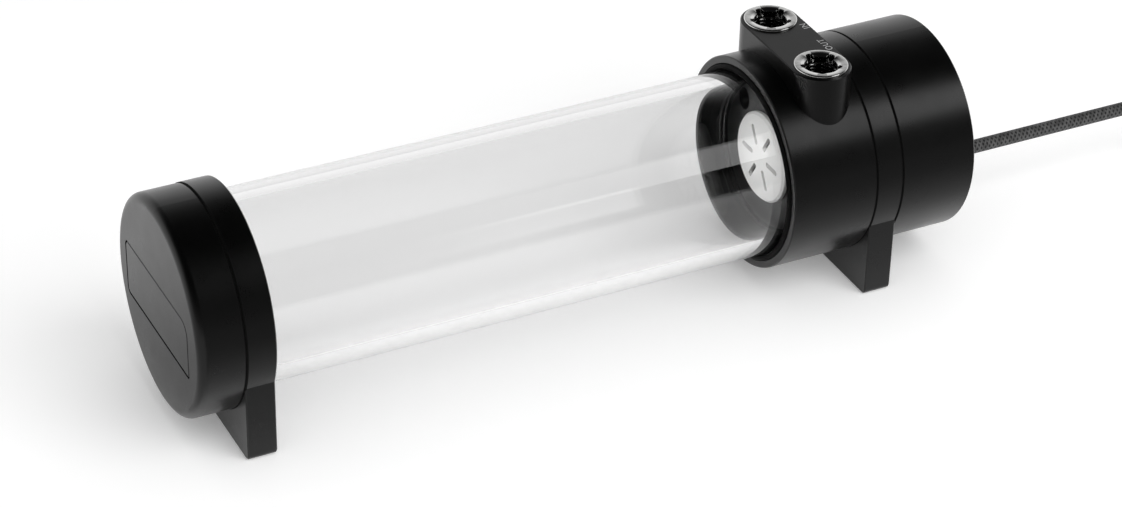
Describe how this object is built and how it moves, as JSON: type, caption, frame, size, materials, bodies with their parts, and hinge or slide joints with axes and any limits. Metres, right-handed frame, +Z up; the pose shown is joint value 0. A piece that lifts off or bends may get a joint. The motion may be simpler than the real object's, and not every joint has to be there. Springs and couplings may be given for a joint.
{
  "type": "coolant pump reservoir",
  "caption": "Horizontal clear tube reservoir for a liquid cooling loop, with a screw cap, foot rings, a built-in pump, twin threaded ports and a pump cable.",
  "frame": {"origin": "on the standing surface, below the middle of the tube's axis, measured over cap, tube and pump", "axes": "+X along the tube from the screw cap towards the pump, +Z up, +Y towards the inlet port"},
  "size_m": [0.4734, 0.103, 0.0869],
  "materials": {
    "acetal": "satin machined black",
    "label_finish": "satin black, bare",
    "clear_acrylic": "clear polished",
    "seal_rubber": "matte black",
    "nickel": "bright nickel plate on brass",
    "pale_plastic": "satin pale grey",
    "pump_plastic": "glass-filled black",
    "ceramic": "ground",
    "magnet": "bonded ferrite",
    "laminations": "stacked sheet",
    "copper": "enamelled wire",
    "circuit_board": "solder mask",
    "can_metal": "drawn",
    "screw_steel": "black oxide",
    "cable_sleeve": "fine black braid",
    "connector_plastic": "black nylon",
    "contact_metal": "tinned"
  },
  "bodies": {
    "reservoir": {"front_foot_ring": "acetal", "pump_top": "acetal", "rear_foot_ring": "acetal", "pump_cover": "acetal", "reservoir_tube": "clear_acrylic", "tube_seal": "seal_rubber", "pump_seal": "seal_rubber", "cable_relief": "seal_rubber", "port_insert_in": "nickel", "port_insert_out": "nickel", "inlet_strainer": "pale_plastic", "pump_body": "pump_plastic", "bearing_ball": "ceramic", "bearing_post": "ceramic", "stator_core": "laminations", "stator_coils": "copper", "controller_board": "circuit_board", "motor_can": "can_metal", "cover_screws": "screw_steel", "inner_lead": "cable_sleeve", "pump_cable": "cable_sleeve", "cable_coil": "cable_sleeve", "cable_tail": "cable_sleeve", "cable_connector": "connector_plastic", "connector_contacts": "contact_metal"},
    "cap": {"end_cap": "acetal", "label_plate": "label_finish"},
    "cap_follower": {"cap_seal": "seal_rubber"},
    "rotor": {"impeller": "pump_plastic", "rotor_magnet": "magnet", "bearing_cup": "ceramic"}
  },
  "joints": [
    {"name": "cap_lift", "type": "slide", "parent": "reservoir", "child": "cap_follower", "axis": [-1, 0, 0], "range_m": [0, 0.006]},
    {"name": "cap_turn", "type": "hinge", "parent": "cap_follower", "child": "cap", "pos_m": [-0.1419, 0, 0.043], "axis": [-1, 0, 0], "range_deg": [0, 1080]},
    {"name": "impeller_spin", "type": "hinge", "parent": "reservoir", "child": "rotor", "pos_m": [0.0952, 0, 0.043], "axis": [1, 0, 0], "continuous": true}
  ],
  "couplings": [
    {"joint": "cap_lift", "follows": "cap_turn", "m_per_rad": 0.000318}
  ]
}
